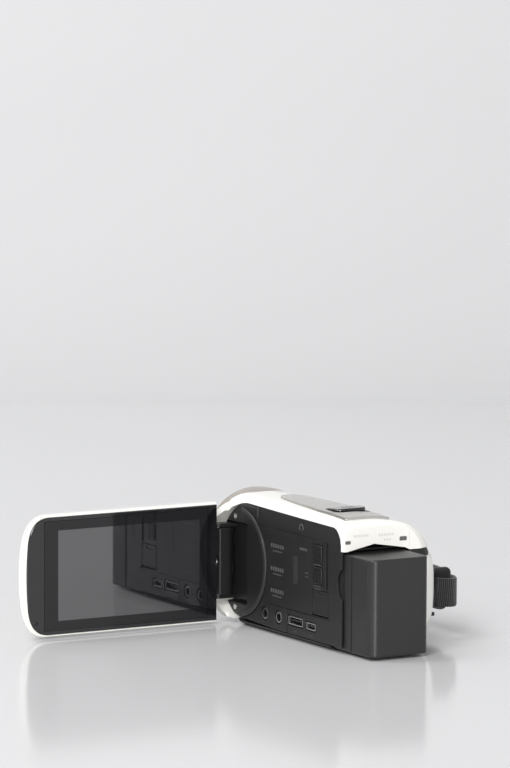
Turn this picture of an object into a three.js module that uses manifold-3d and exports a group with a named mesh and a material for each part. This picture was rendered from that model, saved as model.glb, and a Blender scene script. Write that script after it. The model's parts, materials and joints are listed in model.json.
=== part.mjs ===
// A compact camcorder with a side screen open at a right angle, a long battery and a hand strap.
// Millimetres, +Z up. The lens looks along -Y, the screen opens towards +X, the hand strap is on -X.
// The origin is on the flat underside, below the middle of the body.
import * as THREE from "three";
import { mergeVertices } from "three/addons/utils/BufferGeometryUtils.js";
import Module from "manifold-3d";

const wasm = await Module();
wasm.setup();

// ---- Driving dimensions ----
const WALL = 1.8; // thickness of the outer covers
const GAP = 0.3; // clearance between touching pieces
const BAY_X = 18.6; // face of the panel behind the screen
const PANEL = 0.9; // thickness of that panel
const BAY = { front: -21, middle: 25.6, radius: 25.6, top: 50.1, rear: 53.1, corner: 7.8 };
// Bulges in front of the hinge: centre and half width in X, half height, squareness.
const CHEEKS = [
  [10, 15.2, 26, 2],
  [18, 7.2, 21.2, 4],
];
const BASE_Z = 2.2; // top of the base cover
const REAR_Y = 55; // rear face of the covers
const SEAM_X = -11.5; // seam between the left and right covers
const RIM = { side: -49, z: 36, bend: [-45, 52], top: [-28.5, 54.9] }; // rear edge of the front ring
const LENS = { x: -2.8, z: 30.8, radius: 15.4, front: -50, rear: 8 };
const PIVOT = { x: 23.4, y: -37.6, z: 25.7 }; // screen hinge: swing axis in plan, tilt axis height
const SCREEN = { near: 2.27, length: 91.5, height: 49.4, thick: 7.4, corner: 13 };
const KNUCKLE = { in: 6.6, out: 1.2, height: 27.6, thick: 7.2 };
const PIN_R = 1;
const TILT = { r: 1.7, collar: 2.6 };
const BATTERY = { x0: -9.9, x1: 17.4, y0: 43.6, y1: 73.3, z0: 1.4, z1: 40.3 };
const STRAP = { width: 11.6, thick: 1.6 };
const JACK_R = 1.75; // 3.5 mm plugs
const LATCH = { x: 4, y: 38.6, travel: 2.5 }; // battery catch under the base
const TRIPOD = { x: -6, y: 16, r: 3.175 }; // quarter-inch socket, clear of the origin

// Outer form along Y: centre in X, half widths to the left and right of it, centre in Z, half
// heights above and below it, and the squareness of the upper left, upper right, lower left and
// lower right quarters (2 is an ellipse).
const SECTIONS = [
  [-56, -2.8, 20.9, 20.9, 30.9, 20.9, 20.9, 2, 2, 2, 2],
  [-54.5, -2.8, 21.9, 21.9, 30.8, 21.7, 21.9, 2, 2, 2, 2],
  [-46, -1, 20.4, 24.7, 29.8, 23.6, 24.4, 2.5, 2.1, 2.4, 2.3],
  [-38, 2.5, 16.8, 28.9, 28.2, 25.6, 26.2, 4.6, 2.1, 4, 2.8],
  [-28, 5.5, 13.8, 32.3, 26.9, 27.2, 27.6, 6.6, 2.2, 8, 3.4],
  [10, 6, 13.3, 33.4, 26.9, 27.3, 27.6, 7, 2.2, 9, 3.6],
  [36, 6, 13.3, 34.2, 26.6, 27.1, 27.3, 7, 2.2, 9, 3.6],
  [47, 6, 13.3, 33.8, 26.1, 27, 26.8, 7, 2.25, 9, 3.6],
  [52.8, 6, 13.2, 28.4, 25.9, 26.5, 26.6, 7, 3.1, 9, 4],
  [53.9, 6, 13, 26.4, 25.8, 26.1, 26.3, 7, 3.3, 9, 4.2],
  [REAR_Y, 6, 12.6, 23.6, 25.7, 25.2, 25.6, 7, 3.8, 9, 4.5],
];

// ---- Materials ----
const paint = (color, roughness, metalness = 0) =>
  new THREE.MeshStandardMaterial({ color, roughness, metalness });
const look = {
  white: () => paint(0xe9e9e4, 0.32),
  champagne: () => paint(0xb9aa98, 0.35, 0.5),
  silver: () => paint(0xa9a9a6, 0.4, 0.5),
  black: () => paint(0x1d1d1f, 0.55),
  darkGrey: () => paint(0x2b2b2c, 0.5),
  gloss: () => paint(0x0b0b0c, 0.08),
  metal: () => paint(0xb8b8b8, 0.25, 1),
  gold: () => paint(0xc9a24a, 0.3, 1),
  board: () => paint(0x1f5a36, 0.5),
  glass: () => paint(0x8fa4b4, 0.05),
  fabric: () => paint(0x18181a, 0.95),
};

// ---- Solids ----
// A closed geometry as a manifold-3d solid.
function solid(geometry) {
  const bare = geometry.index ? geometry.toNonIndexed() : geometry.clone();
  bare.deleteAttribute("normal");
  bare.deleteAttribute("uv");
  const merged = mergeVertices(bare, 1e-4);
  return new wasm.Manifold(
    new wasm.Mesh({
      numProp: 3,
      vertProperties: merged.attributes.position.array,
      triVerts: new Uint32Array(merged.index.array),
    }),
  );
}
const join = (first, ...rest) => rest.reduce((a, b) => a.add(b), first);
const cut = (first, ...rest) => rest.reduce((a, b) => a.subtract(b), first);
const common = (first, ...rest) => rest.reduce((a, b) => a.intersect(b), first);

function geometryOf(part) {
  const mesh = part.getMesh();
  return new THREE.BufferGeometry()
    .setAttribute("position", new THREE.BufferAttribute(mesh.vertProperties, 3))
    .setIndex(new THREE.BufferAttribute(mesh.triVerts, 1))
    .toNonIndexed();
}

function box(x0, x1, y0, y1, z0, z1) {
  const g = new THREE.BoxGeometry(x1 - x0, y1 - y0, z1 - z0);
  return solid(g.translate((x0 + x1) / 2, (y0 + y1) / 2, (z0 + z1) / 2));
}

// A cylinder along "x", "y" or "z" from one coordinate to another; u and v are the other two
// coordinates of its axis, in x, y, z order.
function rod(axis, from, to, u, v, r, sides = 24, r2 = r) {
  const g = new THREE.CylinderGeometry(r2, r, to - from, sides);
  const middle = (from + to) / 2;
  if (axis === "x") return solid(g.rotateZ(-Math.PI / 2).translate(middle, u, v));
  if (axis === "y") return solid(g.translate(u, middle, v));
  return solid(g.rotateX(Math.PI / 2).translate(u, v, middle));
}

// An outline extruded along an axis: (y, z) along "x", (x, z) along "y", (x, y) along "z".
function prism(axis, from, to, shape, curveSegments = 8) {
  const g = new THREE.ExtrudeGeometry(shape, {
    depth: to - from,
    bevelEnabled: false,
    curveSegments,
  });
  if (axis === "x") {
    const turn = new THREE.Matrix4().set(0, 0, 1, from, 1, 0, 0, 0, 0, 1, 0, 0, 0, 0, 0, 1);
    return solid(g.applyMatrix4(turn));
  }
  if (axis === "y") return solid(g.rotateX(Math.PI / 2).translate(0, to, 0));
  return solid(g.translate(0, 0, from));
}

function roundRect(u0, u1, v0, v1, r) {
  const s = new THREE.Shape();
  s.absarc(u1 - r, v1 - r, r, 0, Math.PI / 2);
  s.absarc(u0 + r, v1 - r, r, Math.PI / 2, Math.PI);
  s.absarc(u0 + r, v0 + r, r, Math.PI, 1.5 * Math.PI);
  s.absarc(u1 - r, v0 + r, r, 1.5 * Math.PI, 2 * Math.PI);
  return s;
}

const polygon = (points) => new THREE.Shape(points.map(([u, v]) => new THREE.Vector2(u, v)));

// A disc's profile turned about the Y axis; points are [radius, y], first and last on the axis.
function turned(points, x, z, sides = 32) {
  const profile = points.map(([r, y]) => new THREE.Vector2(r, y));
  return solid(new THREE.LatheGeometry(profile, sides).translate(x, 0, z));
}

// A closed skin through rings that have the same number of points.
function skin(rings) {
  const count = rings[0].length;
  const position = rings.flat().flat();
  const index = [];
  for (let k = 0; k + 1 < rings.length; k++)
    for (let i = 0; i < count; i++) {
      const [a, b] = [k * count + i, k * count + ((i + 1) % count)];
      index.push(a, b, a + count, b, b + count, a + count);
    }
  for (let i = 1; i + 1 < count; i++) {
    const last = (rings.length - 1) * count;
    index.push(0, i + 1, i, last, last + i, last + i + 1);
  }
  const g = new THREE.BufferGeometry();
  g.setAttribute("position", new THREE.Float32BufferAttribute(position, 3));
  return solid(g.setIndex(index));
}

// ---- Outer form ----
const power = (v, n) => Math.sign(v) * Math.abs(v) ** (2 / n);

const RING_POINTS = 48;

// One ring of the outer form, moved in by a distance.
function ring([y, cx, left, right, cz, up, down, ...squareness], inset) {
  const points = [];
  for (let i = 0; i < RING_POINTS; i++) {
    const t = (2 * Math.PI * i) / RING_POINTS;
    const [c, s] = [Math.cos(t), Math.sin(t)];
    const n = squareness[(c > 0 ? 0 : 1) + (s > 0 ? 0 : 2)];
    const [a, b] = [c > 0 ? left : right, s > 0 ? up : down];
    points.push([cx + (a - inset) * power(c, n), y, cz + (b - inset) * power(s, n)]);
  }
  return points;
}

function outerForm(inset) {
  const first = SECTIONS[0][0] + inset;
  const last = REAR_Y - inset;
  const rows = SECTIONS.map((row, i) => {
    const y = i === 0 ? first : i === SECTIONS.length - 1 ? last : row[0];
    return [Math.min(Math.max(y, first), last), ...row.slice(1)];
  });
  return skin(rows.reverse().map((row) => ring(row, inset)));
}

const above = (z) => box(-60, 60, -80, 90, z, 80);
const outside = common(outerForm(0), above(0));
const hollow = outerForm(WALL);

// The side view of the front ring's rear edge: upright at the sides, swept back over the top.
function rimOutline(shift) {
  const s = new THREE.Shape();
  s.moveTo(-90, -5);
  s.lineTo(RIM.side + shift, -5);
  s.lineTo(RIM.side + shift, RIM.z);
  s.quadraticCurveTo(RIM.bend[0] + shift, RIM.bend[1], RIM.top[0] + shift, RIM.top[1]);
  s.lineTo(RIM.top[0] + shift, 60);
  s.lineTo(-90, 60);
  return s;
}

// The outline of the bay behind the screen: round in front, with a rounded upper rear corner.
function bayOutline(shrink) {
  const s = new THREE.Shape();
  const r = BAY.radius - shrink;
  const [top, rear] = [BAY.top - shrink, BAY.rear - shrink];
  s.moveTo(BAY.front, BAY.middle - r);
  s.lineTo(rear, BAY.middle - r);
  s.lineTo(rear, top - BAY.corner);
  s.absarc(rear - BAY.corner, top - BAY.corner, BAY.corner, 0, Math.PI / 2);
  s.lineTo(BAY.front, top);
  s.absarc(BAY.front, BAY.middle, r, Math.PI / 2, 1.5 * Math.PI);
  return s;
}

// The round well in the bay that the hinge turns in.
const WELL = { y: -29.1, z: 26.6, r: 22.9 };
const well = (r, x0, x1) => rod("x", x0, x1, WELL.y, WELL.z, r, 48);
const bay = (shrink, x0, x1) => prism("x", x0, x1, bayOutline(shrink), 20);
const knucklePocket = (grow) =>
  box(13, 40, PIVOT.y - 7.6 - grow, -24 + grow, 11.5 - grow, 39.9 + grow);

// The V-shaped lower edge of the covers above the battery.
const overhang = polygon([
  [-80, -5],
  [60, -5],
  [60, 41.3],
  [17.4, 41.3],
  [4.9, 43.8],
  [-9.6, 41.4],
  [-11.6, 40.4],
  [-80, 40.4],
]);

// ---- Pieces of the body ----
// A superellipse in (x, z) about the middle of the bay.
function bulgeOutline([x, width, height, n]) {
  const points = [];
  for (let i = 0; i < 64; i++) {
    const t = (2 * Math.PI * i) / 64;
    points.push([x + width * power(Math.cos(t), n), BAY.middle + height * power(Math.sin(t), n)]);
  }
  return polygon(points);
}

// A raised cheek in front of the screen's hinge, as thick as the closed screen, which clears it.
function cheek() {
  const crescent = cut(
    rod("x", 17, 26, BAY.front, BAY.middle, BAY.radius + 4.4, 56, BAY.radius + 1.6),
    box(0, 40, -30, 40, -20, 80),
    above(49.5),
  );
  const bulges = CHEEKS.map((row) => prism("y", -70, 0, bulgeOutline(row)));
  return cut(common(crescent, join(...bulges)), box(19.4, 40, -35.7, 60, -20, 80));
}

function leftCover() {
  const shell = cut(join(outside, cheek()), hollow);
  return cut(
    shell,
    prism("x", -60, 60, rimOutline(GAP)),
    box(-60, SEAM_X, -80, 80, -5, 80),
    box(-60, 60, -80, 80, -5, BASE_Z + GAP),
    bay(0, 10, 60),
    knucklePocket(0),
    prism("y", 42, 80, overhang),
    box(-20, 40, 20, 80, -5, 4.4),
    topRecess(),
    leverHole(),
    lightHole(ACCESS_LIGHT, 0),
    lightHole(CHARGE_LIGHT, 0),
  );
}

function rightCover() {
  return cut(
    outside,
    hollow,
    prism("x", -60, 60, rimOutline(GAP)),
    box(SEAM_X - GAP, 60, -80, 80, -5, 80),
    box(-60, 60, -80, 80, -5, BASE_Z + GAP),
    box(-20, 60, 46, 80, -5, 40.4),
    box(-60, 60, 46, 80, 37, 40.4),
    topRecess(),
    box(-40, -20, -46.1, -41.9, 24, 34.6),
    ...STRAP_ANCHORS.flatMap((anchor) => anchorLugs(anchor, GAP)),
  );
}

function frontRing() {
  const outer = common(outside, prism("x", -60, 60, rimOutline(0)));
  return cut(
    outer,
    hollow,
    rod("y", -60, -53, LENS.x, LENS.z, 19.6, 48),
  );
}

// The black face round the lens, with a stepped hood and two microphone openings.
function lensBezel() {
  const plate = turned(
    [
      [0, -55],
      [19.3, -55],
      [19.3, -52.2],
      [0, -52.2],
    ],
    LENS.x,
    LENS.z,
    48,
  );
  const hood = turned(
    [
      [0, -60],
      [13.4, -60],
      [8, -51],
      [0, -51],
    ],
    LENS.x,
    LENS.z,
    40,
  );
  const slots = [-1, 1].flatMap((side) =>
    [-1.3, 0, 1.3].map((dz) =>
      box(LENS.x + side * 7.5 - 2, LENS.x + side * 7.5 + 2, -60, -50, 15 + dz - 0.4, 15 + dz + 0.4),
    ),
  );
  return cut(plate, hood, ...slots);
}

const microphone = (side) => rod("y", -50.9, -48.8, LENS.x + side * 7.5, 15, 1.9, 20);

// The base's left and front edges slope in towards the ground.
function basePlate() {
  const left = polygon([
    [-60, 0],
    [15, 0],
    [18.9, BASE_Z],
    [-60, BASE_Z],
  ]);
  const front = polygon([
    [-33, 0],
    [80, 0],
    [80, BASE_Z],
    [-38.6, BASE_Z],
  ]);
  const blank = common(outside, prism("y", -80, 80, left), prism("x", -60, 60, front));
  return cut(
    blank,
    box(BATTERY.x0 - GAP, 60, BATTERY.y0 - GAP, 80, -5, 10),
    rod("z", -5, 10, TRIPOD.x, TRIPOD.y, 4.9, 24),
    box(LATCH.x - 2.3 - LATCH.travel, LATCH.x + 2.3, LATCH.y - 1.5, LATCH.y + 1.5, -5, 10),
  );
}

// A threaded quarter-inch bush, shown with a plain bore.
function tripodSocket() {
  const bush = join(
    rod("z", 0.4, BASE_Z, TRIPOD.x, TRIPOD.y, 4.6, 24),
    rod("z", BASE_Z - 0.1 + GAP, 7, TRIPOD.x, TRIPOD.y, 6.5, 6),
    rod("z", 1, 4, TRIPOD.x, TRIPOD.y, 4.6, 24),
  );
  return cut(bush, rod("z", -1, 6, TRIPOD.x, TRIPOD.y, TRIPOD.r, 20));
}

// ---- Bay behind the screen ----
const JACKS = [-7.4, 3.6]; // Y of the two round sockets
const SOCKETS = { video: [11.4, 22.6, 6.4, 9.8], data: [25.6, 32.6, 6.3, 9.2] };
const BUTTONS = { power: [30.9, 37.6, 34.2, 41.4], mode: [30.9, 37.6, 25.6, 32.6] };
const CARD = { y0: 30.2, y1: 42.4, z0: 13, z1: 23.2 }; // opening of the card cover
const SLOT = { y0: 40.6, y1: 42.4, z0: 24.2, z1: 43.4 };

function bayPanel() {
  const plate = common(bay(GAP, BAY_X - PANEL, BAY_X), common(outside, above(BASE_Z + GAP)));
  const sockets = [
    ...JACKS.map((y) => rod("x", 10, 30, y, 7.8, 2.9, 20)),
    ...Object.values(SOCKETS).map(([y0, y1, z0, z1]) =>
      prism("x", 10, 30, roundRect(y0 - 0.5, y1 + 0.5, z0 - 0.5, z1 + 0.5, 0.8), 3),
    ),
    ...Object.values(BUTTONS).map(([y0, y1, z0, z1]) =>
      prism("x", 10, 30, roundRect(y0 - GAP, y1 + GAP, z0 - GAP, z1 + GAP, 0.6), 3),
    ),
  ];
  return cut(
    plate,
    well(WELL.r + GAP, 10, 30),
    ...sockets,
    box(10, 30, CARD.y0 - GAP, CARD.y1 + GAP, CARD.z0 - GAP, CARD.z1 + GAP),
    box(18, 30, SLOT.y0, SLOT.y1, SLOT.z0, SLOT.z1),
    rod("x", 18, 19, 57, 28, 7.4, 32),
    box(18.2, 30, 0, 44, 12.2, 12.6),
  );
}

// The tray that holds the hinge: lands above and below a deep pocket.
function hingeWell() {
  const lens = common(bay(GAP, 13.2, BAY_X), well(WELL.r, 10, 30));
  const inner = common(bay(1.6, 17.4, 30), well(WELL.r - 1.6, 10, 30));
  const pocket = common(box(14.2, 30, -60, -24, 8.9, 41.9), well(WELL.r - 1.6, 10, 30));
  const screws = HINGE_SCREWS.map((z) => rod("x", 14, 30, -33.2, z, 1.3, 16));
  return cut(lens, inner, pocket, ...screws);
}

const HINGE_SCREWS = [44.5, 6.9];

// A C-shaped metal bracket whose two ears hold the swing pin.
function hingeBracket() {
  const ear = (z) =>
    join(
      box(14.6, PIVOT.x, PIVOT.y - 1.9, PIVOT.y + 1.9, z, z + 1.4),
      rod("z", z, z + 1.4, PIVOT.x, PIVOT.y, 1.9, 24),
    );
  const half = KNUCKLE.height / 2 + GAP;
  const [low, high] = [PIVOT.z - half - 1.4, PIVOT.z + half];
  const bracket = join(box(14.6, 15.6, PIVOT.y - 1.9, -27, low, high + 1.4), ear(low), ear(high));
  return cut(bracket, rod("z", 0, 60, PIVOT.x, PIVOT.y, PIN_R, 16));
}

const hingePin = () =>
  rod("z", PIVOT.z - 15.4, PIVOT.z + 15.4, PIVOT.x, PIVOT.y, PIN_R - 0.05, 16);

// A small countersunk screw with a cross recess, seen along +X.
function hingeScrew(z) {
  const body = join(rod("x", 15, 17.2, -33.2, z, 0.9, 16), rod("x", 16.6, 17.7, -33.2, z, 1.2, 20));
  const slot = [0, 1].map((k) =>
    k ? box(17.3, 18, -34, -32.4, z - 0.2, z + 0.2) : box(17.3, 18, -33.4, -33, z - 0.8, z + 0.8),
  );
  return cut(body, ...slot);
}

// ---- Sockets and board ----
const BOARD_X = 14.2;
const board = () =>
  cut(
    prism("x", BOARD_X, BOARD_X + 1.2, roundRect(-4.6, 41, 24.4, 46, 1.5), 4),
    box(10, 20, 29, 42, 20, 24.5),
  );

function roundJack(y) {
  const shell = join(
    rod("x", 6, BAY_X - 0.4, y, 7.8, 2.6, 20),
    box(6, 17, y - 3.4, y + 3.4, 4.6, 11),
  );
  return cut(shell, rod("x", 7, 30, y, 7.8, JACK_R, 20));
}

function flatSocket([y0, y1, z0, z1]) {
  const shell = prism("x", 9, BAY_X - 0.2, roundRect(y0, y1, z0, z1, 0.6), 3);
  const mouth = prism("x", 10, 30, roundRect(y0 + 0.4, y1 - 0.4, z0 + 0.4, z1 - 0.4, 0.4), 3);
  const middle = (z0 + z1) / 2;
  const tongue = box(9.5, BAY_X - 1.4, y0 + 1.2, y1 - 1.2, middle - 0.4, middle + 0.4);
  return join(cut(shell, mouth), tongue);
}

// A button with a collar behind the panel, so that it can't fall out.
function bayButton([y0, y1, z0, z1]) {
  return join(
    prism("x", BAY_X - 2.4, BAY_X + 0.35, roundRect(y0, y1, z0, z1, 0.5), 3),
    box(BAY_X - 2.4, BAY_X - 1.7, y0 - 0.6, y1 + 0.6, z0 - 0.6, z1 + 0.6),
  );
}

// ---- Memory card ----
function cardCover() {
  const plate = box(17.4, BAY_X - 0.05, CARD.y0, CARD.y1, CARD.z0 + 0.9, CARD.z1);
  const barrel = rod("y", CARD.y0 + 0.2, CARD.y1 - 0.2, BAY_X - 0.85, CARD.z0 + 0.8, 0.75, 16);
  return join(plate, barrel);
}

function cardSlot() {
  const shell = box(1, 16.2, 30.1, 42.1, 16.4, 20);
  return cut(shell, box(1.6, 20, 30.5, 41.7, 17.6, 18.9));
}

const memoryCard = () => box(1.8, 16.6, 30.6, 41.6, 17.7, 18.7);

// ---- Top ----
const TOP = { y0: -13, y1: 48.6, x: 4, half: 10.4, tip: 4.4 };

// The plan of the silver plate on top: a tongue, narrow in front and square behind.
function topOutline(shrink) {
  const s = new THREE.Shape();
  const { x, half, tip } = TOP;
  const [y0, y1] = [TOP.y0 + shrink, TOP.y1 - shrink];
  const [wide, narrow] = [half - shrink, tip - shrink];
  s.moveTo(x - narrow, y0);
  s.lineTo(x + narrow, y0);
  s.quadraticCurveTo(x + wide - 1.4, y0 + 14, x + wide, y0 + 40);
  s.lineTo(x + wide, y1);
  s.lineTo(x - wide, y1);
  s.lineTo(x - wide, y0 + 40);
  s.quadraticCurveTo(x - wide + 1.4, y0 + 14, x - narrow, y0);
  return s;
}
const topArea = (shrink) => prism("z", 40, 70, topOutline(shrink), 6);
const topRecess = () => cut(topArea(0), outerForm(1));

// The plate follows the outer form a little proud of it, with an opening for the zoom lever.
function topPlate() {
  const curved = cut(common(topArea(GAP), outerForm(-0.9)), outerForm(0.7));
  const { x, y, length, width } = LEVER;
  const [a, b] = [length / 2 + 0.9, width / 2 + 2];
  return cut(curved, prism("z", 50, 70, roundRect(x - a, x + a, y - b, y + b, 2.5), 4));
}

const LEVER = { x: 3.6, y: 32.4, length: 15, width: 6.6, z: 53.4, top: 55.9, stem: 1.3 };
const leverHole = () => rod("z", 40, 60, LEVER.x, LEVER.y, LEVER.stem + GAP, 16);

// The zoom lever rocks about an upright post that is held under the cover.
function zoomLever() {
  const { x, y, length, width, z, top, stem } = LEVER;
  const plan = roundRect(x - length / 2, x + length / 2, y - width / 2, y + width / 2, 2.8);
  const grip = [-2, 0, 2].map((dx) =>
    box(x + dx - 0.3, x + dx + 0.3, y - 1.8, y + 1.8, top - 0.35, top + 1),
  );
  return join(
    cut(prism("z", z, top, plan, 5), ...grip),
    rod("z", 50.6, z + 0.2, x, y, stem, 16),
    rod("z", 50, 51.2, x, y, stem + 1.2, 16),
  );
}

// ---- Lights on the rear face ----
const ACCESS_LIGHT = { x: 17, z: 45, w: 2.6, h: 1.4 };
const CHARGE_LIGHT = { x: -8.6, z: 45, w: 3.4, h: 1.7 };
function lightHole({ x, z, w, h }, shrink) {
  const [a, b] = [w / 2 - shrink, h / 2 - shrink];
  return prism("y", 50, 60, roundRect(x - a, x + a, z - b, z + b, 0.4), 3);
}
const lightWindow = (light) =>
  common(lightHole(light, 0.1), box(-60, 60, REAR_Y - 1.6, REAR_Y + 0.05, 0, 60));

// ---- Rear ----
// A tray for the battery: back wall, right wall and roof.
function batteryBay() {
  const walls = join(
    box(-11, 17, 42.4, BATTERY.y0 - GAP, 2.6, 43),
    box(-11, BATTERY.x0 - GAP, 42.4, 52.6, 2.6, 40.1),
    box(-11, 17, 42.4, 50, BATTERY.z1 + GAP, 41.4),
  );
  return cut(walls, box(-1.2, 9.4, 35, 50, 8.6, 15.4));
}

function batteryContacts() {
  const block = box(-0.9, 9.1, 39.5, BATTERY.y0 - 0.6, 8.9, 15.1);
  const ribs = [0.9, 3.3, 5.7].map((x) => box(x, x + 1.2, 42.2, 50, 9.6, 14.4));
  return cut(block, ...ribs);
}

// The black panel at the right of the battery, with a strip that wraps round to the side.
function rearPanel() {
  const solidPart = common(
    outside,
    join(
      box(-19.7, -11.3, 46.3, 60, BASE_Z + GAP, 40.1),
      box(-60, -11.3, 46.3, 60, 37.3, 40.1),
    ),
  );
  return cut(
    solidPart,
    cut(hollow, box(-60, 60, 52.9, 80, -10, 60)),
    rod("y", 40, 60, THUMB.x, THUMB.z, THUMB.r + GAP, 32),
    rod("y", 40, 60, THUMB.x, 12, 1.9, 20),
  );
}

const THUMB = { x: -15, z: 29, r: 3 };
function thumbButton() {
  return join(
    rod("y", 51, 55.6, THUMB.x, THUMB.z, THUMB.r, 32),
    rod("y", 50.6, 51.6, THUMB.x, THUMB.z, THUMB.r + 0.7, 32),
  );
}

function chargeSocket() {
  const body = join(
    rod("y", 46, 54.4, THUMB.x, 12, 1.7, 20),
    rod("y", 44, 52, THUMB.x, 12, 2.6, 20),
  );
  return cut(body, rod("y", 46, 60, THUMB.x, 12, 1.2, 16));
}

// The battery pack with a rounded rear edge and finger steps.
function battery() {
  const { x0, x1, y0, y1, z0, z1 } = BATTERY;
  const pack = prism("z", z0, z1, roundRect(x0, x1, y0, y1, 2.2), 5);
  const contacts = box(0.3, 7.9, y0 - 1, y0 + 1.2, 9.2, 14.8);
  const step = box(x1 - 0.3, x1 + 1, 58, 58.6, z0, z1);
  return cut(pack, contacts, step);
}

const latchKnob = () =>
  box(LATCH.x - 2, LATCH.x + 2, LATCH.y - 1.2, LATCH.y + 1.2, 0.4, 2.7);

// A sprung catch whose knob sticks down through a slot in the base, and lets the battery go.
const latch = () =>
  join(box(LATCH.x - 4, LATCH.x + 4, LATCH.y - 2.2, LATCH.y + 2.2, 2.6, 3.8), latchKnob());

// ---- Lens ----
function lensBarrel() {
  const { x, z, radius, front, rear } = LENS;
  const outer = rod("y", front, rear, x, z, radius, 40);
  const bore = rod("y", front - 1, rear + 1, x, z, radius - 1.6, 40);
  const feet = [-20, -2].map((y) => box(x - 8, x + 8, y, y + 6, 5.4, z - radius + 0.8));
  return join(cut(outer, bore), ...feet);
}

// A lens with two rounded faces, held between y0 and y1.
function lensDisc(y0, y1, r, bulge, sides = 32) {
  return turned(
    [
      [0, y0 - bulge],
      [r * 0.6, y0 - bulge * 0.6],
      [r, y0],
      [r, y1],
      [r * 0.6, y1 + bulge * 0.6],
      [0, y1 + bulge],
    ],
    0,
    0,
    sides,
  );
}

// A lens carrier that runs on the two guide rods.
function carrier(y0, y1) {
  const disc = rod("y", y0, y1, 0, 0, 12.8, 24);
  const rods = ROD_ANGLES.map(([u, v]) => rod("y", -60, 60, u, v, 1.27, 12));
  return cut(join(disc, lensDisc(y0 - 0.6, y1 + 0.6, 8, 1.2, 20)), ...rods);
}

const ROD_ANGLES = [
  [-10.4, 3],
  [10.4, -3],
];
const guideRod = ([u, v]) => rod("y", -43, 5.6, u, v, 1.2, 12);

// Fixed ring that holds both rods and the iris.
function irisUnit() {
  const disc = rod("y", -18, -15.4, 0, 0, 13.4, 36);
  const holes = ROD_ANGLES.map(([u, v]) => rod("y", -60, 60, u, v, 1.25, 16));
  return cut(disc, rod("y", -60, 60, 0, 0, 5, 24), ...holes);
}

const motor = (y, x, z) => rod("y", y, y + 13, x, z, 3.4, 20);

function sensorBoard() {
  return box(LENS.x - 11, LENS.x + 11, 10.6, 12, LENS.z - 9, LENS.z + 9);
}
const imageSensor = () => box(LENS.x - 4, LENS.x + 4, 8.6, 10.3, LENS.z - 3, LENS.z + 3);

// One blade of the shutter in front of the lens; sign is +1 for the upper one.
function barrier(sign) {
  const disc = rod("y", -51.9, -51.3, 0, 0, 18.6, 40);
  const band = box(-12.5, 12.5, -60, -40, 10.4, 40);
  const blade = common(disc, band);
  return sign > 0 ? blade : blade.rotate([0, 180, 0]);
}

function coverSwitch() {
  return join(
    box(-28, -26.8, -45.7, -42.3, 25, 29),
    box(-27, -23.6, -44.9, -43.1, 26, 28),
    box(-24.1, -23.3, -45.7, -42.3, 25, 29),
  );
}

// ---- Speaker ----
const speaker = () => join(rod("z", 47.4, 49.4, -3, -14, 5.4, 28), rod("z", 46.6, 47.6, -3, -14, 3, 20));

// ---- Hand strap ----
const STRAP_ANCHORS = [
  [-32, 25],
  [40, 19.4],
];

// The two lugs of a strap anchor, below and above the strap.
const anchorLugs = ([y, z], grow) =>
  [-1, 1].map((side) => {
    const middle = z + side * 8.6;
    return box(-31.8, -22, y - 2 - grow, y + 2 + grow, middle - 0.7 - grow, middle + 0.7 + grow);
  });

// A bracket whose upright bar holds the strap's end, with its foot inside the right cover.
function strapAnchor([y, z]) {
  return join(
    ...anchorLugs([y, z], 0),
    rod("z", z - 9.2, z + 9.2, -30.6, y, 1.1, 16),
    box(-23.2, -22, y - 2, y + 2, z - 9.2, z + 9.2),
  );
}

// A flat band that follows a curve in plan; the curve's points are [x, y, z of the middle].
// The ends of the band are narrower by a share, taper.
function band(points, width, thick, offset, steps, taper = 0) {
  const curve = new THREE.CatmullRomCurve3(points.map((p) => new THREE.Vector3(...p)));
  const rings = [];
  for (let i = 0; i <= steps; i++) {
    const p = curve.getPoint(i / steps);
    const t = curve.getTangent(i / steps);
    const side = new THREE.Vector3(t.y, -t.x, 0).normalize();
    const at = (k, h) => [p.x + side.x * k, p.y + side.y * k, p.z + h];
    const [low, high] = [offset - thick / 2, offset + thick / 2];
    const half = (width / 2) * (1 - taper * (2 * (i / steps) - 1) ** 4);
    rings.push([at(low, -half), at(low, half), at(high, half), at(high, -half)]);
  }
  return skin(rings);
}

const STRAP_PATH = [
  [-32.9, -33, 25],
  [-38, -27.6, 24],
  [-45, -14, 21.8],
  [-48.6, 5, 19.8],
  [-48.8, 22, 18.6],
  [-46.6, 33, 18.2],
  [-42, 39, 18.4],
  [-32.9, 41, 19.4],
];
const strapBand = () => band(STRAP_PATH, STRAP.width, STRAP.thick, 0, 26);

// The pad sits inside the band, against the back of the hand.
function strapPad() {
  return band(STRAP_PATH.slice(1, 6), 22, 4, 3.3, 16, 0.45);
}

// ---- Screen ----
// Pieces of the screen are placed from the hinge: x along the screen, z from its middle.
function screenOutline(shrink) {
  const s = new THREE.Shape();
  const [x0, x1] = [SCREEN.near + shrink, SCREEN.near + SCREEN.length - shrink];
  const h = SCREEN.height / 2 - shrink;
  const r = SCREEN.corner - shrink;
  s.moveTo(x0, -h);
  s.lineTo(x1 - r, -h);
  s.quadraticCurveTo(x1 - 2.6, -h, x1 - 1, -h + r);
  s.quadraticCurveTo(x1 + 0.6, 0, x1 - 1, h - r);
  s.quadraticCurveTo(x1 - 2.6, h, x1 - r, h);
  s.lineTo(x0, h);
  return s;
}

const screenSlab = (shrink, y0, y1) => prism("y", y0, y1, screenOutline(shrink), 8);

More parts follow.
